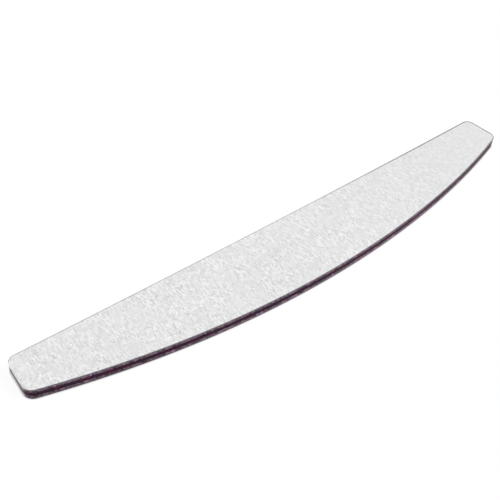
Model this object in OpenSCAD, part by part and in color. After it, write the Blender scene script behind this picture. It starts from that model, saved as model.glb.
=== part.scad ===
/* [Outline] */
// Length between the two front corners, before they are rounded
front_span = 178.2; // [150:0.2:200]
// How far each back corner is set in from the front corner of the same end
end_lean = 0.8; // [0:0.1:3]
// Width across the middle, from the line of the back corners to the front edge
file_width = 25.5; // [20:0.5:32]
// Depth of each blunt end, from its back corner to its front corner
end_depth = 12; // [9:0.5:16]
// Depth of the shallow hollow in the long back edge
back_hollow = 0.7; // [0.1:0.1:2]
// Radius of the two back corners
back_corner_radius = 2.5; // [1:0.5:4]
// Radius of the two front corners
front_corner_radius = 3; // [1:0.5:4]

/* [Layers] */
// Thickness of the plastic core board
core_thickness = 1.3; // [0.8:0.1:3]
// Thickness of each adhesive film between the core and a foam sheet
core_adhesive_thickness = 0.05; // [0.03:0.01:0.2]
// Thickness of each foam sheet
foam_thickness = 0.6; // [0.4:0.1:3]
// Thickness of each adhesive film between a foam sheet and its paper
paper_adhesive_thickness = 0.05; // [0.03:0.01:0.2]
// Thickness of each backing paper
paper_thickness = 0.25; // [0.1:0.05:0.6]
// Thickness of each resin make coat that bonds the grit to its paper
make_coat_thickness = 0.05; // [0.03:0.01:0.1]
// Thickness of each coat of abrasive grit
grit_thickness = 0.1; // [0.05:0.01:0.3]

/* [Cut edge] */
// How far the foam sheets draw in from the cut edge
foam_setback = 0.05; // [0:0.05:0.4]
// How far the adhesive films stop short of the cut edge
adhesive_setback = 0.15; // [0:0.05:0.4]
// How far the make coats stop short of the cut edge
make_coat_setback = 0.05; // [0:0.05:0.4]
// How far the grit coats stop short of the cut edge
grit_setback = 0; // [0:0.05:0.4]

/* [Hidden] */

// Straight steps that stand for the round stretches of the outline
back_steps = 48;
front_steps = 96;
corner_steps = 10;

// Sides of the core that a layer can lie on
top = 1;
bottom = -1;

// Inner face of each layer, as a height above or below the middle of the core
core_adhesive_height = core_thickness / 2;
foam_height = core_adhesive_height + core_adhesive_thickness;
paper_adhesive_height = foam_height + foam_thickness;
paper_height = paper_adhesive_height + paper_adhesive_thickness;
make_coat_height = paper_height + paper_thickness;
grit_height = make_coat_height + make_coat_thickness;
half_thickness = grit_height + grit_thickness;

// The outline is worked out with the back corners at y = 0 and the front edge at -y
front_half = front_span / 2;
back_half = front_half - end_lean;
front_rise = file_width - end_depth;
front_radius = arc_radius(front_half, front_rise);
front_centre = [0, front_radius - file_width];
back_radius = arc_radius(back_half, back_hollow);
back_centre = [0, back_radius - back_hollow];

// Right end: the way down it from back to front, and the way out of it
end_length = norm([end_lean, end_depth]);
end_down = [end_lean, -end_depth] / end_length;
end_out = [end_depth, end_lean] / end_length;
end_reach = end_out * [back_half, 0];

// Centres of the right end's two corner rounds
back_round = round_centre(back_corner_radius, back_centre, back_radius + back_corner_radius);
front_round = round_centre(front_corner_radius, front_centre, front_radius - front_corner_radius);

// Bearings at which the rounds meet the back edge, the end and the front edge
back_bearing = bearing(back_centre - back_round);
end_bearing = bearing(end_out);
front_bearing = bearing(front_round - front_centre);

// Middle of the outline's box, which goes to the origin
middle_y = (back_round.y + back_corner_radius - file_width) / 2;

// Radius of an arc from half its chord and its rise
function arc_radius(half_chord, rise) = (half_chord * half_chord + rise * rise) / (2 * rise);

function direction(angle) = [cos(angle), sin(angle)];
function bearing(v) = atan2(v.y, v.x);

// Centre of a corner round that touches the end and stays a set distance from an arc's centre
function round_centre(radius, arc_centre, distance) =
    let (out = end_reach - radius)
    let (down = sqrt(pow(distance, 2) - pow(out - end_out * arc_centre, 2)))
    out * end_out + (end_down * arc_centre + down) * end_down;

// Points along an arc, with some left out at both of its ends
function arc_points(centre, radius, from, to, steps, left_out = 0) =
    [for (i = [left_out : steps - left_out]) centre + radius * direction(from + (to - from) * i / steps)];

function flipped(points) = [for (i = [len(points) - 1 : -1 : 0]) [-points[i].x, points[i].y]];

function right_end(inset) = concat(
    arc_points(back_round, back_corner_radius - inset, back_bearing, end_bearing, corner_steps),
    arc_points(front_round, front_corner_radius - inset, end_bearing, front_bearing, corner_steps)
);

function back_edge(inset) =
    arc_points(back_centre, back_radius + inset, -back_bearing, back_bearing - 180, back_steps, 1);

function front_edge(inset) =
    arc_points(front_centre, front_radius - inset, front_bearing, -180 - front_bearing, front_steps, 1);

// Whole outline, drawn in evenly by the inset
module outline(inset) {
    translate([0, -middle_y])
        polygon(concat(back_edge(inset), right_end(inset), front_edge(inset), flipped(right_end(inset))));
}

// One flat layer on the top or bottom side, from its inner face outwards
module layer(side, height, thickness, inset) {
    inner_z = half_thickness + side * height;
    translate([0, 0, min(inner_z, inner_z + side * thickness)])
        linear_extrude(thickness)
            outline(inset);
}

module core_board() {
    color([0.25, 0.11, 0.19])
        translate([0, 0, half_thickness - core_thickness / 2])
            linear_extrude(core_thickness)
                outline(0);
}

module core_adhesive(side) {
    color([0.42, 0.38, 0.40])
        layer(side, core_adhesive_height, core_adhesive_thickness, adhesive_setback);
}

module foam_sheet(side) {
    color([0.38, 0.34, 0.38])
        layer(side, foam_height, foam_thickness, foam_setback);
}

module paper_adhesive(side) {
    color([0.50, 0.47, 0.49])
        layer(side, paper_adhesive_height, paper_adhesive_thickness, adhesive_setback);
}

module backing_paper(side) {
    color([0.52, 0.50, 0.52])
        layer(side, paper_height, paper_thickness, 0);
}

module make_coat(side) {
    color([0.60, 0.58, 0.57])
        layer(side, make_coat_height, make_coat_thickness, make_coat_setback);
}

module grit_coat(side) {
    color([0.90, 0.90, 0.90])
        layer(side, grit_height, grit_thickness, grit_setback);
}

core_board();
core_adhesive(top);  // top_core_adhesive
core_adhesive(bottom);  // bottom_core_adhesive
foam_sheet(top);  // top_foam_sheet
foam_sheet(bottom);  // bottom_foam_sheet
paper_adhesive(top);  // top_paper_adhesive
paper_adhesive(bottom);  // bottom_paper_adhesive
backing_paper(top);  // top_backing_paper
backing_paper(bottom);  // bottom_backing_paper
make_coat(top);  // top_make_coat
make_coat(bottom);  // bottom_make_coat
grit_coat(top);  // top_grit_coat
grit_coat(bottom);  // bottom_grit_coat
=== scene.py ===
"""Looks of a half-moon emery board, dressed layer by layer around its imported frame.

Every length is in metres, as in the frame, and MM turns a maker's millimetres into them.
The board lies flat: X runs along it, Y across it towards the long back edge, and Z up.
"""

import logging
import math
from contextlib import contextmanager
from dataclasses import dataclass, field
from enum import Enum
from typing import Any, Callable, Iterator

import bmesh
import bpy
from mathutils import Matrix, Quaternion, Vector
from mathutils.kdtree import KDTree


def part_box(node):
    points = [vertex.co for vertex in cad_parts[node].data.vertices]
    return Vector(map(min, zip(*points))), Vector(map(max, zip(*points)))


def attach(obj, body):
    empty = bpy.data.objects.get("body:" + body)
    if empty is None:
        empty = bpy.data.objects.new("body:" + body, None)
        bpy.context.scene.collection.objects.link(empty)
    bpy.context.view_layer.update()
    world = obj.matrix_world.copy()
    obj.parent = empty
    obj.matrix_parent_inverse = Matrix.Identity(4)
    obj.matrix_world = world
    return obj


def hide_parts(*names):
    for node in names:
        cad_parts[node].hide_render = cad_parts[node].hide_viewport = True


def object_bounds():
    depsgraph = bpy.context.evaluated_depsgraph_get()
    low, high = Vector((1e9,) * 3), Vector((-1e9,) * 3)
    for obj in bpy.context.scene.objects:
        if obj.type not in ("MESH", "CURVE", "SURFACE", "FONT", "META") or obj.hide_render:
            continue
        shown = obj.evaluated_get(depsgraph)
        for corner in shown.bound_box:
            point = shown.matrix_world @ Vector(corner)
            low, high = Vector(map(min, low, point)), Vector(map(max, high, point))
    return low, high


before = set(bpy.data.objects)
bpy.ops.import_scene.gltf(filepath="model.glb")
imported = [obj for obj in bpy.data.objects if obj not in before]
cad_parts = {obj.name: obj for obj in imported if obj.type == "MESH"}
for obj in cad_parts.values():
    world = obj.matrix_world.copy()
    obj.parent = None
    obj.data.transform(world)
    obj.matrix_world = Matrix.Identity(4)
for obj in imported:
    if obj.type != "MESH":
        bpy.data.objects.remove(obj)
cad_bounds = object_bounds()

MM = 0.001
ORIGIN = (0.0, 0.0, 0.0)
SAME_PLACE = 0.002 * MM
SAME_PLANE = 0.01
SMOOTH_ANGLE = math.radians(50)
BODY = "root"
RIM_ATTRIBUTE = "rim_distance"
FACE_GROUP = "face"
WHITE = (1.0, 1.0, 1.0)

# Painted light and shade build up between these places along X towards the right tip, and painted shade over
# the left part
TIP_START = 40 * MM
TIP_FULL = 84 * MM
LEFT_START = -10 * MM
LEFT_FULL = -60 * MM
# The blunt ends lean in towards the back edge, and their line crosses Y = 0 at this reach
END_LEAN = 0.8 / 12
END_REACH = 89.15 * MM
# Pale dust and painted light lie on the end walls, between these depths inside their line, and less of them
# at the front
DUST_AND_LIGHT_START = 0.4 * MM
DUST_AND_LIGHT_FULL = 0.1 * MM
DUST_AND_LIGHT_BACK = 8 * MM
DUST_AND_LIGHT_AT_FRONT = 0.3
# A dragged stroke shows where the die's marks pass from the first of these values to the second
STROKE_BARE = 0.3
STROKE_COVERED = 0.52
# A speck is whole out to this share of its radius, and fades from there
SPECK_WHOLE = 0.6

# Sockets of a mix node that mixes colours, whose names its other kinds of mix share
MIX_SHARE = 0
MIX_FIRST = 6
MIX_SECOND = 7
MIX_RESULT = 2

Colour = tuple[float, float, float]
Size3 = tuple[float, float, float]

log = logging.getLogger("emery_board")


class Side(Enum):
    """The two faces of the board, each valued by the way that it looks along Z."""

    TOP = 1
    BOTTOM = -1

    def named(self, part: str) -> str:
        """Name of a part that this side has, such as top_foam_sheet."""
        return f"{self.name.lower()}_{part}"


class Element(Enum):
    """What a pick in edit mode picks."""

    VERT = "verts"
    EDGE = "edges"
    FACE = "faces"


class Pattern(Enum):
    """Patterns that a relief can press into a surface."""

    CLOUDS = "CLOUDS"
    CELLS = "VORONOI"


def display(red: float, green: float, blue: float) -> Colour:
    """Turns a colour as a screen shows it, from 0 to 255, into the light it sends back.

    Args:
        red: red as shown.
        green: green as shown.
        blue: blue as shown.

    Returns:
        The same colour in linear light, from 0 to 1.
    """
    shown = (red / 255, green / 255, blue / 255)
    return tuple(part / 12.92 if part <= 0.04045 else ((part + 0.055) / 1.055) ** 2.4 for part in shown)


def make_active(piece: bpy.types.Object) -> None:
    """Selects one object alone and makes it the active one.

    Args:
        piece: the object.
    """
    bpy.ops.object.select_all(action="DESELECT")
    piece.select_set(True)
    bpy.context.view_layer.objects.active = piece


@contextmanager
def edit_mode(piece: bpy.types.Object) -> Iterator[None]:
    """Holds a piece in edit mode for the length of a with block.

    Args:
        piece: the piece.

    Returns:
        The guard for the with block.
    """
    make_active(piece)
    bpy.ops.object.mode_set(mode="EDIT")
    yield
    bpy.ops.object.mode_set(mode="OBJECT")


def pick(piece: bpy.types.Object, element: Element, wanted: Callable[[Any], bool]) -> None:
    """Selects the wanted elements of a piece in edit mode, and nothing else.

    Args:
        piece: the piece that is in edit mode.
        element: what to pick.
        wanted: says of one element whether it is picked.
    """
    bpy.ops.mesh.select_mode(type=element.name)
    bpy.ops.mesh.select_all(action="DESELECT")
    mesh = bmesh.from_edit_mesh(piece.data)
    for part in getattr(mesh, element.value):
        if wanted(part):
            part.select_set(True)
    bmesh.update_edit_mesh(piece.data)


def is_level(edge: bmesh.types.BMEdge) -> bool:
    """Whether an edge runs along the board's outline and not through its thickness."""
    return abs(edge.verts[0].co.z - edge.verts[1].co.z) < SAME_PLACE


def lies_at(edge: bmesh.types.BMEdge, height: float) -> bool:
    """Whether an edge lies level at a height."""
    return is_level(edge) and abs(edge.verts[0].co.z - height) < SAME_PLACE


def is_flat(face: bmesh.types.BMFace) -> bool:
    """Whether a face looks up or down, and not out of the cut edge."""
    return abs(face.normal.z) > 0.5


@dataclass(frozen=True)
class Relief:
    """A pattern that is pressed into a surface, inwards only.

    Attributes:
        pattern: the kind of pattern.
        cell: size of its cells along X, Y and Z.
        depth: how far in its lowest places go.
        octaves: how many finer copies of the pattern lie over it.
    """

    pattern: Pattern
    cell: Size3
    depth: float
    octaves: int = 0

    def press(self, piece: bpy.types.Object, side: Side | None = None, group: str = "") -> None:
        """Presses the pattern into a piece.

        Args:
            piece: the piece.
            side: the face that takes it, or nothing for a cut edge, which takes it square to itself.
            group: vertex group that takes it, or nothing for all of the piece.
        """
        texture = bpy.data.textures.new(f"{piece.name}_relief", self.pattern.value)
        texture.noise_scale = 1.0
        if self.pattern is Pattern.CLOUDS:
            texture.noise_depth = self.octaves
        bpy.ops.object.empty_add(location=ORIGIN)
        ruler = bpy.context.view_layer.objects.active
        ruler.scale = self.cell
        make_active(piece)
        bpy.ops.object.modifier_add(type="DISPLACE")
        press = piece.modifiers[-1]
        press.texture = texture
        press.texture_coords = "OBJECT"
        press.texture_coords_object = ruler
        press.direction = "Z" if side else "NORMAL"
        press.strength = side.value * self.depth if side else self.depth
        press.mid_level = 1.0
        press.vertex_group = group
        bpy.context.view_layer.update()
        bpy.ops.object.modifier_apply(modifier=press.name)
        bpy.data.objects.remove(ruler)
        bpy.data.textures.remove(texture)


@dataclass
class DieCutSheet:
    """One sheet of the laminate, worked up from a merged copy of its CAD solid.

    Attributes:
        node: CAD node that the sheet stands for.
        name: name of the finished piece.
        step: length of one face along the cut edge.
        rows: rows of faces up the cut edge.
        crosswise: faces across the board's width.
        piece: the piece itself.
        low: height of the sheet's lower face.
        high: height of the sheet's upper face.
    """

    node: str
    name: str
    step: float = 0.23 * MM
    rows: int = 3
    crosswise: int = 20
    piece: bpy.types.Object = field(init=False)
    low: float = field(init=False)
    high: float = field(init=False)

    def __post_init__(self) -> None:
        """Reads the sheet's heights from the frame and opens its cut edge."""
        lowest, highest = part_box(self.node)
        self.low = lowest.z
        self.high = highest.z
        self.piece = bpy.data.objects.new(self.name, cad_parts[self.node].data.copy())
        self.piece.data.name = self.name
        self.piece.data.materials.clear()
        bpy.context.scene.collection.objects.link(self.piece)
        with edit_mode(self.piece):
            bpy.ops.mesh.customdata_custom_splitnormals_clear()
            bpy.ops.mesh.select_all(action="SELECT")
            bpy.ops.mesh.remove_doubles(threshold=SAME_PLACE)
            pick(self.piece, Element.FACE, is_flat)
            bpy.ops.mesh.delete(type="FACE")
            bpy.ops.mesh.select_all(action="SELECT")
            bpy.ops.mesh.tris_convert_to_quads(face_threshold=SAME_PLANE, shape_threshold=math.pi)
            self.mark_ends()
            self.divide_rim()

    def face_height(self, side: Side) -> float:
        """Height of the sheet's face on one side of the board."""
        return self.high if side is Side.TOP else self.low

    def mark_ends(self) -> None:
        """Marks the outline's straight ends, its longest edges, as seams and divides them."""
        mesh = bmesh.from_edit_mesh(self.piece.data)
        nearly_longest = 0.99 * max(edge.calc_length() for edge in mesh.edges if is_level(edge))
        pick(self.piece, Element.EDGE, lambda edge: is_level(edge) and edge.calc_length() > nearly_longest)
        bpy.ops.mesh.mark_seam(clear=False)
        bpy.ops.mesh.subdivide(number_cuts=self.crosswise - 1)

    def cuts_needed(self, edge: bmesh.types.BMEdge) -> int:
        """Counts the cuts that bring an edge of the outline down to one step.

        Args:
            edge: any edge of the sheet.

        Returns:
            The count, which is 0 on the straight ends and through the thickness.
        """
        if edge.seam or not is_level(edge):
            return 0
        return max(round(edge.calc_length() / self.step) - 1, 0)

    def divide_rim(self) -> None:
        """Divides the rest of the outline into faces of one step, and the cut edge into its rows."""
        mesh = bmesh.from_edit_mesh(self.piece.data)
        for count in sorted({self.cuts_needed(edge) for edge in mesh.edges} - {0}, reverse=True):
            pick(self.piece, Element.EDGE, lambda edge: self.cuts_needed(edge) == count)
            bpy.ops.mesh.subdivide(number_cuts=count)
        if self.rows > 1:
            pick(self.piece, Element.EDGE, lambda edge: not is_level(edge))
            bpy.ops.mesh.subdivide(number_cuts=self.rows - 1)

    def spread(self, reach: float) -> None:
        """Moves the open cut edge outwards, as glue that is squeezed out.

        Args:
            reach: how far it moves.
        """
        with edit_mode(self.piece):
            bpy.ops.mesh.select_all(action="SELECT")
            bpy.ops.transform.shrink_fatten(value=reach)

    def draw_in(self, depth: float) -> None:
        """Draws the open cut edge in along a parabola, with its foot halfway up.

        Args:
            depth: how far the middle goes in.
        """
        with edit_mode(self.piece):
            for row in range(1, self.rows):
                share = row / self.rows
                height = self.low + (self.high - self.low) * share
                pick(self.piece, Element.VERT, lambda vert: abs(vert.co.z - height) < SAME_PLACE)
                bpy.ops.transform.shrink_fatten(value=-depth * 4 * share * (1 - share))

    def close(self, *sides: Side) -> None:
        """Closes the open outline on one or both sides with a flat face.

        Args:
            sides: the sides to close.
        """
        with edit_mode(self.piece):
            for side in sides:
                height = self.face_height(side)
                pick(self.piece, Element.EDGE, lambda edge: edge.is_boundary and lies_at(edge, height))
                bpy.ops.mesh.edge_face_add()
            bpy.ops.mesh.select_all(action="SELECT")
            bpy.ops.mesh.normals_make_consistent(inside=False)

    def lay_grid(self, side: Side) -> None:
        """Closes the open outline on one side with small faces, laid from the front edge to the back.

        Args:
            side: the side to close.
        """
        height = self.face_height(side)
        with edit_mode(self.piece):
            pick(
                self.piece,
                Element.EDGE,
                lambda edge: edge.is_boundary and not edge.seam and lies_at(edge, height),
            )
            bpy.ops.mesh.bridge_edge_loops(number_cuts=self.crosswise - 1, interpolation="LINEAR")
            bpy.ops.mesh.select_all(action="SELECT")
            bpy.ops.mesh.remove_doubles(threshold=SAME_PLACE)

    def round_arris(self, side: Side, radius: float, segments: int = 3) -> None:
        """Rounds the arris between the cut edge and a face.

        Args:
            side: the side that the face looks to.
            radius: radius of the rounding.
            segments: faces around the rounding.
        """
        height = self.face_height(side)

        def is_arris(edge: bmesh.types.BMEdge) -> bool:
            """Whether an edge parts the cut edge from the face."""
            return lies_at(edge, height) and len({is_flat(near) for near in edge.link_faces}) == 2

        with edit_mode(self.piece):
            pick(self.piece, Element.EDGE, is_arris)
            bpy.ops.mesh.bevel(offset=radius, segments=segments, profile=0.5, clamp_overlap=True)

    def press_face(self, side: Side, *reliefs: Relief) -> None:
        """Presses reliefs into the face on one side, and leaves the other side flat.

        Args:
            side: the side that takes them.
            reliefs: the reliefs, one after the other.
        """
        middle = (self.low + self.high) / 2
        points = self.piece.data.vertices
        facing = [point.index for point in points if side.value * (point.co.z - middle) > 0]
        self.piece.vertex_groups.new(name=FACE_GROUP).add(facing, 1.0, "REPLACE")
        for relief in reliefs:
            relief.press(self.piece, side, FACE_GROUP)
        self.piece.vertex_groups.clear()

    def note_rim_distance(self) -> None:
        """Notes at each point how far it lies from the outline, for the finish to read."""
        points = self.piece.data.vertices
        with edit_mode(self.piece):
            mesh = bmesh.from_edit_mesh(self.piece.data)
            walls = [vert.index for vert in mesh.verts if any(not is_flat(near) for near in vert.link_faces)]
        tree = KDTree(len(walls))
        for place, index in enumerate(walls):
            tree.insert((points[index].co.x, points[index].co.y, 0.0), place)
        tree.balance()
        distances = [tree.find((point.co.x, point.co.y, 0.0))[2] for point in points]
        attribute = self.piece.data.attributes.new(RIM_ATTRIBUTE, "FLOAT", "POINT")
        attribute.data.foreach_set("value", distances)

    def finish(self, material: bpy.types.Material) -> bpy.types.Object:
        """Smooths and paints the piece, and hands it to the frame.

        Args:
            material: the finish.

        Returns:
            The finished piece.
        """
        with edit_mode(self.piece):
            bpy.ops.mesh.select_all(action="SELECT")
            bpy.ops.mesh.mark_seam(clear=True)
        bpy.ops.object.shade_smooth_by_angle(angle=SMOOTH_ANGLE)
        self.piece.data.materials.append(material)
        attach(self.piece, BODY)
        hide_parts(self.node)
        log.info("%s: %d faces, stands for %s", self.name, len(self.piece.data.polygons), self.node)
        return self.piece


def emptied_tree(owner: bpy.types.Material | bpy.types.World) -> bpy.types.NodeTree:
    """Gives a material or a world a node tree of its own, with nothing in it.

    Args:
        owner: the material or the world.

    Returns:
        The tree.
    """
    owner.use_nodes = True
    owner.node_tree.nodes.clear()
    return owner.node_tree


class NodeSheet:
    """A shader node tree that is filled one node at a time."""

    def __init__(self, tree: bpy.types.NodeTree) -> None:
        """Takes the tree to fill."""
        self.tree = tree

    def add(self, kind: str, feeds: dict[str | int, Any] | None = None, **settings: Any) -> bpy.types.Node:
        """Adds a node.

        Args:
            kind: the node's type.
            feeds: for each input, a socket to link to it or a plain value.
            settings: the node's own settings, which are made first.

        Returns:
            The new node.
        """
        node = self.tree.nodes.new(kind)
        for name, value in settings.items():
            setattr(node, name, value)
        for name, value in (feeds or {}).items():
            socket = node.inputs[name]
            if isinstance(value, bpy.types.NodeSocket):
                self.tree.links.new(value, socket)
            elif socket.type == "RGBA":
                socket.default_value = (*value, 1.0)
            else:
                socket.default_value = value
        return node

    def position(self) -> bpy.types.NodeSocket:
        """Place on the piece, which is the place in the frame."""
        return self.add("ShaderNodeTexCoord").outputs["Object"]

    def along(self, axis: str) -> bpy.types.NodeSocket:
        """Place along one axis, X, Y or Z."""
        return self.add("ShaderNodeSeparateXYZ", {0: self.position()}).outputs[axis]

    def calculate(self, operation: str, *terms: Any) -> bpy.types.NodeSocket:
        """Result of a sum, with plain numbers or sockets as its terms."""
        return self.add("ShaderNodeMath", dict(enumerate(terms)), operation=operation).outputs["Value"]

    def blend(self, share: Any, first: Any, second: Any) -> bpy.types.NodeSocket:
        """Blend of two colours, with a share from 0 to 1 of the second."""
        feeds = {MIX_SHARE: share, MIX_FIRST: first, MIX_SECOND: second}
        return self.add("ShaderNodeMix", feeds, data_type="RGBA").outputs[MIX_RESULT]

    def spread_out(
        self, value: Any, low: float = 0.0, high: float = 1.0, start: Any = 0.0, end: Any = 1.0
    ) -> bpy.types.NodeSocket:
        """Carries a value from the range low..high over to the range start..end, and stops there."""
        feeds = {"Value": value, "From Min": low, "From Max": high, "To Min": start, "To Max": end}
        return self.add("ShaderNodeMapRange", feeds).outputs["Result"]

    def seen_directly(self) -> bpy.types.NodeSocket:
        """Tells the rays apart that show the background, by themselves or in a gloss or a glass.

        Returns:
            1 for such a ray, and 0 for one that only carries light.
        """
        path = self.add("ShaderNodeLightPath").outputs
        gloss = self.calculate("MAXIMUM", path["Is Glossy Ray"], path["Is Transmission Ray"])
        return self.calculate("MAXIMUM", path["Is Camera Ray"], gloss)


class EffectSheet(NodeSheet):
    """A shared effect: a node group that gives one value at each place."""

    def __init__(self, name: str, inputs: dict[str, str]) -> None:
        """Starts the group.

        Args:
            name: the group's name.
            inputs: name and socket type of each input besides Position.
        """
        super().__init__(bpy.data.node_groups.new(name, "ShaderNodeTree"))
        sockets = self.tree.interface
        for label, kind in {"Position": "NodeSocketVector", **inputs}.items():
            sockets.new_socket(label, in_out="INPUT", socket_type=kind)
        sockets.new_socket("Value", in_out="OUTPUT", socket_type="NodeSocketFloat")
        self.given = self.add("NodeGroupInput").outputs

    def give(self, value: bpy.types.NodeSocket) -> bpy.types.NodeTree:
        """Ends the group in its value, and gives the group."""
        self.add("NodeGroupOutput", {"Value": value})
        return self.tree


def mottle_group() -> bpy.types.NodeTree:
    """Builds soft mottling, which turns into streaks where its cells are long.

    Returns:
        The group, from Position, Cell and Contrast to Value.
    """
    sheet = EffectSheet("mottle", {"Cell": "NodeSocketVector", "Contrast": "NodeSocketFloat"})
    divided = {0: sheet.given["Position"], 1: sheet.given["Cell"]}
    cells = sheet.add("ShaderNodeVectorMath", divided, operation="DIVIDE").outputs[0]
    look = {"Vector": cells, "Scale": 1.0, "Detail": 3.0, "Roughness": 0.6}
    noise = sheet.add("ShaderNodeTexNoise", look).outputs["Fac"]
    centred = sheet.calculate("SUBTRACT", noise, 0.5)
    stretched = sheet.calculate("MULTIPLY", centred, sheet.given["Contrast"])
    raised = sheet.add("ShaderNodeMath", {0: stretched, 1: 0.5}, operation="ADD", use_clamp=True)
    return sheet.give(raised.outputs[0])


def crumbs_group() -> bpy.types.NodeTree:
    """Builds scattered specks with soft rims, such as grains, dust and cells.

    Returns:
        The group, from Position, Spacing, Radius and Share to Value.
    """
    sheet = EffectSheet("crumbs", dict.fromkeys(("Spacing", "Radius", "Share"), "NodeSocketFloat"))
    finer = sheet.calculate("DIVIDE", 1.0, sheet.given["Spacing"])
    scaled = {0: sheet.given["Position"], "Scale": finer}
    cells = sheet.add("ShaderNodeVectorMath", scaled, operation="SCALE").outputs[0]
    voronoi = sheet.add("ShaderNodeTexVoronoi", {"Vector": cells, "Scale": 1.0}).outputs
    drawn = sheet.add("ShaderNodeSeparateColor", {"Color": voronoi["Color"]}).outputs[0]
    present = sheet.calculate("LESS_THAN", drawn, sheet.given["Share"])
    outwards = sheet.calculate("DIVIDE", voronoi["Distance"], sheet.given["Radius"])
    body = sheet.spread_out(outwards, low=1.0, high=SPECK_WHOLE)
    return sheet.give(sheet.calculate("MULTIPLY", present, body))


def cut_marks_group(mottle: bpy.types.NodeTree) -> bpy.types.NodeTree:
    """Builds the upright marks that a cutting die leaves on an edge.

    Args:
        mottle: the mottle group, which is drawn out over more than the board's thickness.

    Returns:
        The group, from Position and Width to Value.
    """
    sheet = EffectSheet("cut_marks", {"Width": "NodeSocketFloat"})
    width = sheet.given["Width"]
    cell = sheet.add("ShaderNodeCombineXYZ", {"X": width, "Y": width, "Z": 12 * MM}).outputs[0]
    feeds = {"Position": sheet.given["Position"], "Cell": cell, "Contrast": 3.0}
    return sheet.give(sheet.add("ShaderNodeGroup", feeds, node_tree=mottle).outputs["Value"])


@dataclass(frozen=True)
class Effects:
    """The node groups that the finishes share."""

    mottle: bpy.types.NodeTree
    crumbs: bpy.types.NodeTree
    cut_marks: bpy.types.NodeTree


@dataclass(frozen=True)
class Mottling:
    """Soft mottling in a finish, which turns into streaks where its cells are long.

    Attributes:
        cell: size of its cells along X, Y and Z.
        contrast: how far its lightest and darkest places lie apart.
    """

    cell: Size3
    contrast: float


@dataclass(frozen=True)
class Specks:
    """Scattered specks in a finish.

    Attributes:
        spacing: distance between the places that may hold a speck.
        radius: radius of a speck, as a share of the spacing.
        share: share of the places that hold one.
    """

    spacing: float
    radius: float
    share: float


@dataclass(frozen=True)
class Sheen:
    """How a finish takes the light.

    Attributes:
        smoothest: roughness where it is smoothest.
        roughest: roughness where it is roughest.
        bump: height of its finest relief.
        specular: specular level.
    """

    smoothest: float
    roughest: float
    bump: float
    specular: float


class FinishSheet(NodeSheet):
    """A material's node tree, with the shared effects at hand."""

    def __init__(self, name: str, effects: Effects) -> None:
        """Starts a material.

        Args:
            name: the material's name.
            effects: the shared node groups.
        """
        self.material = bpy.data.materials.new(name)
        self.effects = effects
        super().__init__(emptied_tree(self.material))
        self.place = self.position()

    def effect(self, group: bpy.types.NodeTree, settings: dict[str, Any]) -> bpy.types.NodeSocket:
        """Value of a shared effect at the place on the piece."""
        feeds = {"Position": self.place, **settings}
        return self.add("ShaderNodeGroup", feeds, node_tree=group).outputs["Value"]

    def mottle(self, look: Mottling) -> bpy.types.NodeSocket:
        """Value of soft mottling, from 0 to 1."""
        return self.effect(self.effects.mottle, {"Cell": look.cell, "Contrast": look.contrast})

    def scatter(self, look: Specks) -> bpy.types.NodeSocket:
        """Mask of scattered specks."""
        settings = {"Spacing": look.spacing, "Radius": look.radius, "Share": look.share}
        return self.effect(self.effects.crumbs, settings)

    def cut_marks(self, width: float) -> bpy.types.NodeSocket:
        """Value of the die's upright marks of one width, from 0 to 1."""
        return self.effect(self.effects.cut_marks, {"Width": width})

    def drag(self, width: float, faded: float, full: float) -> bpy.types.NodeSocket:
        """Masks what the die dragged from one layer over the next, in uneven upright strokes.

        Args:
            width: width of the strokes.
            faded: height at which they have faded out.
            full: height at which they start, where they are strongest.

        Returns:
            The share that is covered, from 0 to 1.
        """
        fading = self.spread_out(self.along("Z"), faded, full)
        strokes = self.spread_out(self.cut_marks(width), STROKE_BARE, STROKE_COVERED)
        return self.calculate("MULTIPLY", fading, strokes)

    def dust_and_light_at_ends(self, share: float) -> bpy.types.NodeSocket:
        """Masks the pale dust and painted light on the blunt ends, which thin out towards their front
        corners.

        Args:
            share: how much it covers where it is thickest.

        Returns:
            The share that is covered, from 0 to 1.
        """
        from_middle = self.calculate("ABSOLUTE", self.along("X"))
        out = self.calculate("MULTIPLY_ADD", self.along("Y"), END_LEAN, from_middle)
        on_end = self.spread_out(out, END_REACH - DUST_AND_LIGHT_START, END_REACH - DUST_AND_LIGHT_FULL, end=share)
        thinned = self.spread_out(self.along("Y"), 0.0, DUST_AND_LIGHT_BACK, start=DUST_AND_LIGHT_AT_FRONT)
        return self.calculate("MULTIPLY", on_end, thinned)

    def towards_left(self, middle: float, left: float) -> bpy.types.NodeSocket:
        """Value that changes from the board's middle to its left part."""
        return self.spread_out(self.along("X"), LEFT_START, LEFT_FULL, middle, left)

    def towards_tip(self, share: float) -> bpy.types.NodeSocket:
        """Share of the painted light and shade that build up towards the board's right tip."""
        return self.spread_out(self.along("X"), TIP_START, TIP_FULL, end=share)

    def complete(
        self,
        colour: bpy.types.NodeSocket,
        roughening: bpy.types.NodeSocket,
        height: bpy.types.NodeSocket,
        sheen: Sheen,
    ) -> bpy.types.Material:
        """Ends the tree in its shader.

        Args:
            colour: the base colour.
            roughening: how rough it is between its smoothest and its roughest, from 0 to 1.
            height: the height for the bump, from 0 to 1.
            sheen: how the finish takes the light.

        Returns:
            The material.
        """
        raised = self.add("ShaderNodeBump", {"Height": height, "Strength": 1.0, "Distance": sheen.bump})
        feeds = {
            "Base Color": colour,
            "Roughness": self.spread_out(roughening, start=sheen.smoothest, end=sheen.roughest),
            "Normal": raised.outputs["Normal"],
            "Specular IOR Level": sheen.specular,
        }
        shader = self.add("ShaderNodeBsdfPrincipled", feeds)
        self.add("ShaderNodeOutputMaterial", {"Surface": shader.outputs["BSDF"]})
        return self.material


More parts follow.
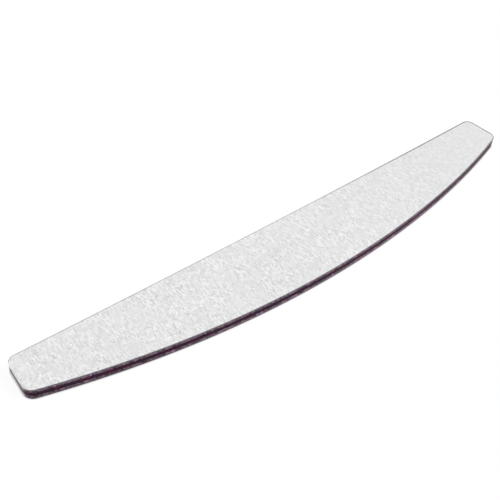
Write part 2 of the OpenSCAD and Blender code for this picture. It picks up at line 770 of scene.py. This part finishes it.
@dataclass(frozen=True)
class GritFinish:
    """Silicon carbide grit under a dry, pale stearate coat, with a dark line where it is cut."""

    light: Colour = display(252, 252, 252)
    dark: Colour = display(197, 197, 198)
    bare_grit: Colour = display(180, 179, 181)
    stearate: Colour = display(252, 252, 252)
    cut_grit: Colour = display(120, 114, 118)
    even_tone: Colour = (0.46, 0.46, 0.46)
    streaks: Mottling = Mottling((0.55 * MM, 1.6 * MM, 0.55 * MM), 5.6)
    grain: Mottling = Mottling((0.36 * MM, 0.42 * MM, 0.4 * MM), 4.6)
    grain_share: float = 0.5
    patches: Mottling = Mottling((14 * MM, 9 * MM, 9 * MM), 2.0)
    patch_share: float = 0.12
    even_spots: Mottling = Mottling((3.5 * MM, 5 * MM, 3 * MM), 4.0)
    even_spot_share: float = 0.65
    even_tip_share: float = 0.7
    bare_dots: Specks = Specks(1.1 * MM, 0.22, 0.14)
    flecks: Specks = Specks(1.0 * MM, 0.24, 0.16)
    front_cut: float = 0.07 * MM
    back_cut_left: float = 0.2 * MM
    back_cut_right: float = 0.5 * MM
    back_cut_widens: float = 10 * MM
    back_cut_widest: float = 60 * MM
    front_to_back: float = 4 * MM
    cut_whole: float = 0.5
    sheen: Sheen = Sheen(smoothest=0.7, roughest=0.95, bump=0.07 * MM, specular=0.2)

    def make(self, effects: Effects) -> bpy.types.Material:
        """Builds the material.

        Args:
            effects: the shared node groups.

        Returns:
            The material.
        """
        sheet = FinishSheet("grit_and_stearate", effects)
        grain = sheet.mottle(self.grain)
        tone = self.coat_tone(sheet, grain)
        colour = sheet.blend(tone, self.dark, self.light)
        colour = sheet.blend(sheet.scatter(self.bare_dots), colour, self.bare_grit)
        colour = sheet.blend(sheet.scatter(self.flecks), colour, self.stearate)
        colour = sheet.blend(self.cut_line(sheet), colour, self.cut_grit)
        return sheet.complete(colour, grain, tone, self.sheen)

    def coat_tone(self, sheet: FinishSheet, grain: bpy.types.NodeSocket) -> bpy.types.NodeSocket:
        """Mixes how light the coat is. It is more even in spots, and towards the right tip.

        Args:
            sheet: the material's sheet.
            grain: value of the grain.

        Returns:
            The tone, from 0 for the dark colour to 1 for the light one.
        """
        texture = sheet.blend(self.grain_share, sheet.mottle(self.streaks), grain)
        texture = sheet.blend(self.patch_share, texture, sheet.mottle(self.patches))
        even_spots = sheet.spread_out(sheet.mottle(self.even_spots), end=self.even_spot_share)
        even_tip = sheet.spread_out(sheet.along("X"), 0.0, TIP_FULL, end=self.even_tip_share)
        evenness = sheet.calculate("MAXIMUM", even_spots, even_tip)
        return sheet.blend(evenness, texture, self.even_tone)

    def cut_line(self, sheet: FinishSheet) -> bpy.types.NodeSocket:
        """Masks the line at the rim where the cut bares the grit: fine in front, wider at the back.

        Args:
            sheet: the material's sheet.

        Returns:
            The share that is bare, from 0 to 1, and 0 on the left end, under the pale dust and painted light
            there.
        """
        rim = sheet.add("ShaderNodeAttribute", attribute_name=RIM_ATTRIBUTE).outputs["Fac"]
        widening = (self.back_cut_widens, self.back_cut_widest, self.back_cut_left, self.back_cut_right)
        back_cut = sheet.spread_out(sheet.along("X"), *widening)
        turning = (-self.front_to_back, self.front_to_back)
        reach = sheet.spread_out(sheet.along("Y"), *turning, self.front_cut, back_cut)
        line = sheet.spread_out(sheet.calculate("DIVIDE", rim, reach), low=1.0, high=self.cut_whole)
        on_left = sheet.calculate("LESS_THAN", sheet.along("X"), 0.0)
        dusty = sheet.calculate("MULTIPLY", sheet.dust_and_light_at_ends(1.0), on_left)
        return sheet.spread_out(dusty, start=line, end=0.0)


@dataclass(frozen=True)
class ResinFinish:
    """Cured resin that holds the grit, seen only as a thin line at the rim."""

    clear: Colour = display(128, 122, 124)
    cloudy: Colour = display(160, 156, 156)
    clouds: Mottling = Mottling((0.3 * MM, 0.3 * MM, 0.2 * MM), 2.5)
    sheen: Sheen = Sheen(smoothest=0.3, roughest=0.55, bump=0.01 * MM, specular=0.5)

    def make(self, effects: Effects) -> bpy.types.Material:
        """Builds the material.

        Args:
            effects: the shared node groups.

        Returns:
            The material.
        """
        sheet = FinishSheet("cured_resin", effects)
        clouds = sheet.mottle(self.clouds)
        colour = sheet.blend(clouds, self.clear, self.cloudy)
        return sheet.complete(colour, clouds, clouds, self.sheen)


@dataclass(frozen=True)
class PaperFinish:
    """Latex-saturated backing paper, cut across its fibres, stained by the core, and darker towards the left
    with painted shade.
    """

    fibre: Colour = display(158, 150, 156)
    latex: Colour = display(102, 95, 100)
    grit_dust: Colour = display(184, 180, 184)
    plum: Colour = display(62, 36, 55)
    # Painted light: the paper turns lighter and greyer towards the right tip
    tip_light_and_shade: Colour = display(154, 147, 152)
    # Pale dust on the blunt ends, partly painted light on the end walls
    dust: Colour = display(240, 238, 238)
    fibres: Mottling = Mottling((1.1 * MM, 1.1 * MM, 0.06 * MM), 3.2)
    mark_width: float = 1.1 * MM
    mark_share: float = 0.6
    tip_light_share: float = 0.7
    stain_width: float = 1.2 * MM
    palest_mark: float = 0.2
    deepest_mark: float = 0.8
    palest_stain: float = 0.3
    deepest_stain: float = 0.9
    # Share of the plum at the right; painted shade raises it to whole over the left part
    plum_and_shade_at_right: float = 0.25
    specks: Specks = Specks(0.8 * MM, 0.3, 0.12)
    end_dust_and_light_share: float = 0.9
    sheen: Sheen = Sheen(smoothest=0.75, roughest=0.92, bump=0.015 * MM, specular=0.2)

    def make(self, effects: Effects) -> bpy.types.Material:
        """Builds the material.

        Args:
            effects: the shared node groups.

        Returns:
            The material.
        """
        sheet = FinishSheet("backing_paper", effects)
        marks = sheet.cut_marks(self.mark_width)
        texture = sheet.blend(self.mark_share, sheet.mottle(self.fibres), marks)
        colour = sheet.blend(texture, self.latex, self.fibre)
        colour = sheet.blend(sheet.towards_tip(self.tip_light_share), colour, self.tip_light_and_shade)
        colour = sheet.blend(self.plum_and_shade(sheet), colour, self.plum)
        colour = sheet.blend(sheet.scatter(self.specks), colour, self.grit_dust)
        colour = sheet.blend(sheet.dust_and_light_at_ends(self.end_dust_and_light_share), colour, self.dust)
        return sheet.complete(colour, texture, texture, self.sheen)

    def plum_and_shade(self, sheet: FinishSheet) -> bpy.types.NodeSocket:
        """Masks the plum that the die dragged down over the lower paper, deepened towards the left by
        painted shade.

        Args:
            sheet: the material's sheet.

        Returns:
            The share that is darkened, from 0 to 1.
        """
        middle = (cad_bounds[0][2] + cad_bounds[1][2]) / 2
        below_core = sheet.calculate("LESS_THAN", sheet.along("Z"), middle)
        marks = sheet.spread_out(sheet.cut_marks(self.stain_width), self.palest_mark, self.deepest_mark)
        plum_and_shade = sheet.spread_out(marks, start=self.palest_stain, end=self.deepest_stain)
        # Painted shade: the plum deepens over the left part
        plum_and_shade = sheet.calculate("MULTIPLY", plum_and_shade, sheet.towards_left(self.plum_and_shade_at_right, 1.0))
        return sheet.calculate("MULTIPLY", below_core, plum_and_shade)


@dataclass(frozen=True)
class FoamFinish:
    """Closed-cell foam, with cut cells whose hollows are darkened as painted shade, plum that the die
    dragged over from the core, and painted light and shade towards the tip and the left.
    """

    wall: Colour = display(174, 153, 169)
    shade: Colour = display(114, 98, 111)
    # Painted shade in the hollows of the cut cells
    cell: Colour = display(98, 80, 95)
    plum: Colour = display(40, 12, 34)
    crumb: Colour = display(182, 144, 174)
    # Pale dust on the blunt ends, partly painted light on the end walls
    dust: Colour = display(240, 238, 238)
    # Towards the right tip: painted light on the upper foam, painted shade on the lower foam
    upper_tip_light: Colour = display(148, 139, 146)
    lower_tip_shade: Colour = display(88, 82, 87)
    cells: Specks = Specks(0.16 * MM, 0.5, 0.8)
    patches: Mottling = Mottling((1.1 * MM, 1.1 * MM, 2 * MM), 4.4)
    down_stroke: float = 1.2 * MM
    down_overrun: float = 0.4 * MM
    up_stroke: float = 0.8 * MM
    up_shortfall: float = 0.1 * MM
    crumbs: Specks = Specks(1.5 * MM, 0.45, 0.5)
    # Painted shade: share of plum over the lower foam's left part
    left_shade: float = 0.22
    tip_light_share: float = 0.7
    end_dust_and_light_share: float = 0.9
    sheen: Sheen = Sheen(smoothest=0.82, roughest=0.94, bump=0.03 * MM, specular=0.2)

    def make(self, effects: Effects) -> bpy.types.Material:
        """Builds the material.

        Args:
            effects: the shared node groups.

        Returns:
            The material.
        """
        lower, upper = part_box("bottom_foam_sheet"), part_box("top_foam_sheet")
        sheet = FinishSheet("closed_cell_foam", effects)
        cells = sheet.scatter(self.cells)
        patches = sheet.mottle(self.patches)
        colour = sheet.blend(patches, self.shade, self.wall)
        # Painted shade: the cells' hollows, which the bump lowers, are darkened
        colour = sheet.blend(cells, colour, self.cell)
        downwards = sheet.drag(self.down_stroke, lower[0].z - self.down_overrun, lower[1].z)
        upwards = sheet.drag(self.up_stroke, upper[1].z - self.up_shortfall, upper[0].z)
        colour = sheet.blend(sheet.calculate("MINIMUM", downwards, upwards), colour, self.plum)
        in_lower = sheet.calculate("LESS_THAN", sheet.along("Z"), (lower[1].z + upper[0].z) / 2)
        crumbs = sheet.calculate("MULTIPLY", in_lower, sheet.scatter(self.crumbs))
        colour = sheet.blend(crumbs, colour, self.crumb)
        # Painted shade: the lower foam darkens towards plum over the left part
        shaded_left = sheet.calculate("MULTIPLY", in_lower, sheet.towards_left(0.0, self.left_shade))
        colour = sheet.blend(shaded_left, colour, self.plum)
        # Painted light above the core and painted shade below it, towards the right tip
        tip_light_and_shade = sheet.blend(in_lower, self.upper_tip_light, self.lower_tip_shade)
        colour = sheet.blend(sheet.towards_tip(self.tip_light_share), colour, tip_light_and_shade)
        colour = sheet.blend(sheet.dust_and_light_at_ends(self.end_dust_and_light_share), colour, self.dust)
        raised = sheet.calculate("SUBTRACT", 1.0, cells)
        return sheet.complete(colour, patches, raised, self.sheen)


@dataclass(frozen=True)
class GlueFinish:
    """Thin film of acrylic glue, a little tacky and dusty where it meets the air."""

    clean: Colour = display(70, 58, 68)
    dusty: Colour = display(112, 102, 110)
    dust: Mottling = Mottling((0.7 * MM, 0.7 * MM, 0.1 * MM), 3.0)
    sheen: Sheen = Sheen(smoothest=0.35, roughest=0.8, bump=0.01 * MM, specular=0.3)

    def make(self, effects: Effects) -> bpy.types.Material:
        """Builds the material.

        Args:
            effects: the shared node groups.

        Returns:
            The material.
        """
        sheet = FinishSheet("acrylic_glue", effects)
        dust = sheet.mottle(self.dust)
        colour = sheet.blend(dust, self.clean, self.dusty)
        return sheet.complete(colour, dust, dust, self.sheen)


@dataclass(frozen=True)
class CoreFinish:
    """Dark plum plastic, made partly of regrind whose crumbs show in the cut."""

    plum: Colour = display(50, 10, 42)
    deep: Colour = display(8, 0, 8)
    crimson: Colour = display(84, 14, 44)
    violet: Colour = display(56, 22, 74)
    foam: Colour = display(130, 100, 124)
    # Painted light: the core turns lighter and greyer towards the right tip
    tip_light_and_shade: Colour = display(50, 46, 50)
    # Pale dust on the blunt ends, partly painted light on the end walls
    dust: Colour = display(80, 78, 78)
    mark_width: float = 0.9 * MM
    spots: Mottling = Mottling((1.2 * MM, 1.2 * MM, 0.5 * MM), 4.6)
    spot_share: float = 0.6
    crimson_spots: Mottling = Mottling((2.6 * MM, 2.6 * MM, 2.2 * MM), 5.0)
    crimson_start: float = 0.6
    crimson_full: float = 0.95
    crimson_share: float = 0.6
    regrind: Specks = Specks(1.3 * MM, 0.4, 0.24)
    upper_stroke: float = 0.7 * MM
    lower_stroke: float = 1.6 * MM
    stroke_reach: float = 0.15 * MM
    tip_light_share: float = 0.7
    end_dust_and_light_share: float = 0.8
    sheen: Sheen = Sheen(smoothest=0.5, roughest=0.75, bump=0.02 * MM, specular=0.15)

    def make(self, effects: Effects) -> bpy.types.Material:
        """Builds the material.

        Args:
            effects: the shared node groups.

        Returns:
            The material.
        """
        lowest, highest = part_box("core_board")
        sheet = FinishSheet("plum_core_plastic", effects)
        marks = sheet.cut_marks(self.mark_width)
        tone = sheet.blend(self.spot_share, marks, sheet.mottle(self.spots))
        colour = sheet.blend(tone, self.deep, self.plum)
        spots = sheet.mottle(self.crimson_spots)
        crimson = sheet.spread_out(spots, self.crimson_start, self.crimson_full, end=self.crimson_share)
        colour = sheet.blend(crimson, colour, self.crimson)
        colour = sheet.blend(sheet.scatter(self.regrind), colour, self.violet)
        upper_foam = sheet.drag(self.upper_stroke, highest.z - self.stroke_reach, highest.z)
        colour = sheet.blend(upper_foam, colour, self.foam)
        lower_foam = sheet.drag(self.lower_stroke, lowest.z + self.stroke_reach, lowest.z)
        colour = sheet.blend(lower_foam, colour, self.foam)
        colour = sheet.blend(sheet.towards_tip(self.tip_light_share), colour, self.tip_light_and_shade)
        colour = sheet.blend(sheet.dust_and_light_at_ends(self.end_dust_and_light_share), colour, self.dust)
        return sheet.complete(colour, marks, marks, self.sheen)


class Finishes:
    """The finished materials, one of each."""

    def __init__(self) -> None:
        """Builds the shared effects once and each material from them."""
        mottle = mottle_group()
        effects = Effects(mottle, crumbs_group(), cut_marks_group(mottle))
        self.grit = GritFinish().make(effects)
        self.resin = ResinFinish().make(effects)
        self.paper = PaperFinish().make(effects)
        self.foam = FoamFinish().make(effects)
        self.glue = GlueFinish().make(effects)
        self.core = CoreFinish().make(effects)


@dataclass
class CoreBoard:
    """The stiff plastic core, with the upright marks of the die on its cut edge."""

    finishes: Finishes
    rows: int = 6
    arris: float = 0.06 * MM
    die_marks: Relief = Relief(Pattern.CLOUDS, (0.5 * MM, 0.5 * MM, 9 * MM), 0.05 * MM, octaves=2)

    def build(self) -> None:
        """Builds the core and dresses it."""
        sheet = DieCutSheet("core_board", "plastic_core", rows=self.rows)
        self.die_marks.press(sheet.piece)
        sheet.close(Side.TOP, Side.BOTTOM)
        sheet.round_arris(Side.TOP, self.arris)
        sheet.round_arris(Side.BOTTOM, self.arris)
        sheet.finish(self.finishes.core)


@dataclass
class Cushion:
    """One side's foam sheet, with the glue films that hold it to the core and to the paper."""

    side: Side
    finishes: Finishes
    foam_step: float = 0.15 * MM
    foam_rows: int = 5
    foam_draw_in: float = 0.07 * MM
    glue_spread: float = 0.09 * MM
    foam_cells: Relief = Relief(Pattern.CELLS, (0.3 * MM, 0.3 * MM, 0.25 * MM), 0.05 * MM)
    glue_waver: Relief = Relief(Pattern.CLOUDS, (0.9 * MM, 0.9 * MM, 5 * MM), 0.14 * MM, octaves=2)

    def build(self) -> None:
        """Builds the foam and its glue, and dresses them."""
        self.lay_glue("core_adhesive", "cushion_glue")
        self.lay_foam()
        self.lay_glue("paper_adhesive", "paper_glue")

    def lay_foam(self) -> None:
        """Builds the foam sheet, with its drawn-in edge of cut cells."""
        node = self.side.named("foam_sheet")
        name = self.side.named("foam_cushion")
        sheet = DieCutSheet(node, name, step=self.foam_step, rows=self.foam_rows)
        sheet.draw_in(self.foam_draw_in)
        self.foam_cells.press(sheet.piece)
        sheet.close(Side.TOP, Side.BOTTOM)
        sheet.finish(self.finishes.foam)

    def lay_glue(self, node: str, name: str) -> None:
        """Builds one glue film, squeezed out unevenly at the cut edge.

        Args:
            node: the film's CAD node, without its side.
            name: the piece's name, without its side.
        """
        sheet = DieCutSheet(self.side.named(node), self.side.named(name), rows=1)
        sheet.spread(self.glue_spread)
        self.glue_waver.press(sheet.piece)
        sheet.close(Side.TOP, Side.BOTTOM)
        sheet.finish(self.finishes.glue)


@dataclass
class AbrasivePaper:
    """One side's abrasive paper: the backing, the resin bond and the grit on it."""

    side: Side
    finishes: Finishes
    crosswise: int = 100
    arris: float = 0.03 * MM
    bond_spread: float = 0.04 * MM
    torn_fibres: Relief = Relief(Pattern.CLOUDS, (0.22 * MM, 0.22 * MM, 0.3 * MM), 0.04 * MM, octaves=2)
    ragged_bond: Relief = Relief(Pattern.CLOUDS, (0.35 * MM, 0.35 * MM, 1 * MM), 0.06 * MM, octaves=2)
    ragged_grit: Relief = Relief(Pattern.CELLS, (0.3 * MM, 0.3 * MM, 1 * MM), 0.03 * MM)
    coating_streaks: Relief = Relief(Pattern.CLOUDS, (0.5 * MM, 1.6 * MM, 0.5 * MM), 0.03 * MM, octaves=2)
    grain: Relief = Relief(Pattern.CELLS, (0.5 * MM, 0.5 * MM, 0.5 * MM), 0.035 * MM)

    def build(self) -> None:
        """Builds the paper and its coats, and dresses them."""
        self.lay_backing()
        self.lay_bond()
        self.lay_grit()

    def lay_backing(self) -> None:
        """Builds the backing paper, with torn fibres at its cut edge."""
        sheet = DieCutSheet(self.side.named("backing_paper"), self.side.named("paper_backing"))
        self.torn_fibres.press(sheet.piece)
        sheet.close(Side.TOP, Side.BOTTOM)
        sheet.round_arris(self.side, self.arris, segments=2)
        sheet.finish(self.finishes.paper)

    def lay_bond(self) -> None:
        """Builds the resin bond, which shows as a ragged line around the grit."""
        sheet = DieCutSheet(self.side.named("make_coat"), self.side.named("resin_bond"), rows=1)
        sheet.spread(self.bond_spread)
        self.ragged_bond.press(sheet.piece)
        sheet.close(Side.TOP, Side.BOTTOM)
        sheet.finish(self.finishes.resin)

    def lay_grit(self) -> None:
        """Builds the grit coat, with its coating streaks and grain pressed into the face."""
        node = self.side.named("grit_coat")
        name = self.side.named("abrasive_face")
        sheet = DieCutSheet(node, name, rows=1, crosswise=self.crosswise)
        self.ragged_grit.press(sheet.piece)
        sheet.lay_grid(self.side)
        sheet.close(Side.BOTTOM if self.side is Side.TOP else Side.TOP)
        sheet.round_arris(self.side, self.arris)
        sheet.press_face(self.side, self.coating_streaks, self.grain)
        sheet.note_rim_distance()
        sheet.finish(self.finishes.grit)


@dataclass(frozen=True)
class Lamp:
    """A broad, soft lamp that hangs far off.

    Attributes:
        name: the lamp's name.
        level: how much light it sends to the board's face.
        azimuth: where it hangs, turned from the front towards the right tip.
        elevation: how high it hangs, as an angle.
        softness: how wide it looks from the board, as an angle.
    """

    name: str
    level: float
    azimuth: float
    elevation: float
    softness: float = math.radians(60)

    def hang(self) -> None:
        """Hangs the lamp in the scene."""
        flat = math.cos(self.elevation)
        right = math.sin(self.azimuth) * flat
        front = math.cos(self.azimuth) * flat
        towards = Vector((right, -front, math.sin(self.elevation)))
        bpy.ops.object.light_add(type="SUN")
        lamp = bpy.context.view_layer.objects.active
        lamp.name = self.name
        lamp.rotation_mode = "QUATERNION"
        lamp.rotation_quaternion = towards.to_track_quat("Z", "Y")
        lamp.data.angle = self.softness
        lamp.data.energy = self.level * math.pi / math.sin(self.elevation)


@dataclass
class Studio:
    """White floor, plain soft light and the camera at the photograph's viewing angle."""

    camera_place: Size3 = (-128.35 * MM, -120.49 * MM, 171.72 * MM)
    camera_aim: Size3 = (-14.29 * MM, 7.0 * MM, 3.5 * MM)
    camera_roll: float = math.radians(4.138)
    lens: float = 60.0
    key: Lamp = Lamp("soft_key", 0.53, math.radians(65), math.radians(32))
    fill: Lamp = Lamp("soft_fill", 0.09, math.radians(-100), math.radians(12))
    sky_level: float = 0.4
    floor_gap: float = 0.02 * MM
    floor_size: float = 6.0
    floor_paint: Colour = (0.1, 0.1, 0.1)
    floor_glow: float = 0.92
    # Reach of the painted contact shadow, in which ambient occlusion darkens the floor's glow next to the
    # board
    painted_shadow_reach: float = 0.45 * MM

    def build(self) -> None:
        """Sets the studio up."""
        bpy.context.scene.view_settings.view_transform = "Standard"
        self.place_camera()
        self.key.hang()
        self.fill.hang()
        self.light_sky()
        self.lay_floor()

    def place_camera(self) -> None:
        """Places the camera and makes it the scene's own."""
        place = Vector(self.camera_place)
        aim = Vector(self.camera_aim) - place
        bpy.ops.object.camera_add(location=place)
        camera = bpy.context.view_layer.objects.active
        camera.name = "photo_camera"
        camera.rotation_mode = "QUATERNION"
        roll = Quaternion((0.0, 0.0, 1.0), self.camera_roll)
        camera.rotation_quaternion = aim.to_track_quat("-Z", "Y") @ roll
        camera.data.lens = self.lens
        camera.data.clip_start = 10 * MM
        bpy.context.scene.camera = camera

    def light_sky(self) -> None:
        """Lights the board evenly from all round, and shows white where the sky is seen itself."""
        world = bpy.data.worlds.new("white_studio")
        sheet = NodeSheet(emptied_tree(world))
        level = sheet.spread_out(sheet.seen_directly(), start=self.sky_level)
        background = sheet.add("ShaderNodeBackground", {"Color": WHITE, "Strength": level})
        sheet.add("ShaderNodeOutputWorld", {"Surface": background.outputs[0]})
        bpy.context.scene.world = world

    def lay_floor(self) -> None:
        """Lays the white floor, which keeps the board's shadow."""
        bpy.ops.mesh.primitive_plane_add(size=self.floor_size, location=(0.0, 0.0, -self.floor_gap))
        floor = bpy.context.view_layer.objects.active
        floor.name = "studio_floor"
        bpy.ops.object.transform_apply(location=True)
        floor.visible_diffuse = False
        floor.visible_shadow = False
        floor.data.materials.append(self.floor_finish())

    def floor_finish(self) -> bpy.types.Material:
        """Paints the floor, which is clear from below, so that the underside can be seen, and whose glow
        darkens next to the board as a painted contact shadow.

        Returns:
            The material.
        """
        material = bpy.data.materials.new("white_floor")
        sheet = NodeSheet(emptied_tree(material))
        paint = sheet.add("ShaderNodeBsdfDiffuse", {"Color": self.floor_paint})
        # Painted contact shadow: ambient occlusion darkens the floor's glow next to the board
        painted_contact_shadow = sheet.add("ShaderNodeAmbientOcclusion", {"Distance": self.painted_shadow_reach}, samples=8)
        glow_level = sheet.calculate("MULTIPLY", sheet.seen_directly(), self.floor_glow)
        glow = sheet.add("ShaderNodeEmission", {"Color": painted_contact_shadow.outputs["Color"], "Strength": glow_level})
        lit = sheet.add("ShaderNodeAddShader", {0: paint.outputs[0], 1: glow.outputs[0]})
        below = sheet.add("ShaderNodeNewGeometry").outputs["Backfacing"]
        clear = sheet.add("ShaderNodeBsdfTransparent")
        both = sheet.add("ShaderNodeMixShader", {0: below, 1: lit.outputs[0], 2: clear.outputs[0]})
        sheet.add("ShaderNodeOutputMaterial", {"Surface": both.outputs[0]})
        return material


def main() -> None:
    """Builds the studio and the board, layer by layer from the core outwards."""
    logging.basicConfig(level=logging.INFO, format="%(name)s: %(message)s")
    Studio().build()
    finishes = Finishes()
    CoreBoard(finishes).build()
    for side in Side:
        Cushion(side, finishes).build()
        AbrasivePaper(side, finishes).build()


if __name__ == "__main__":
    main()
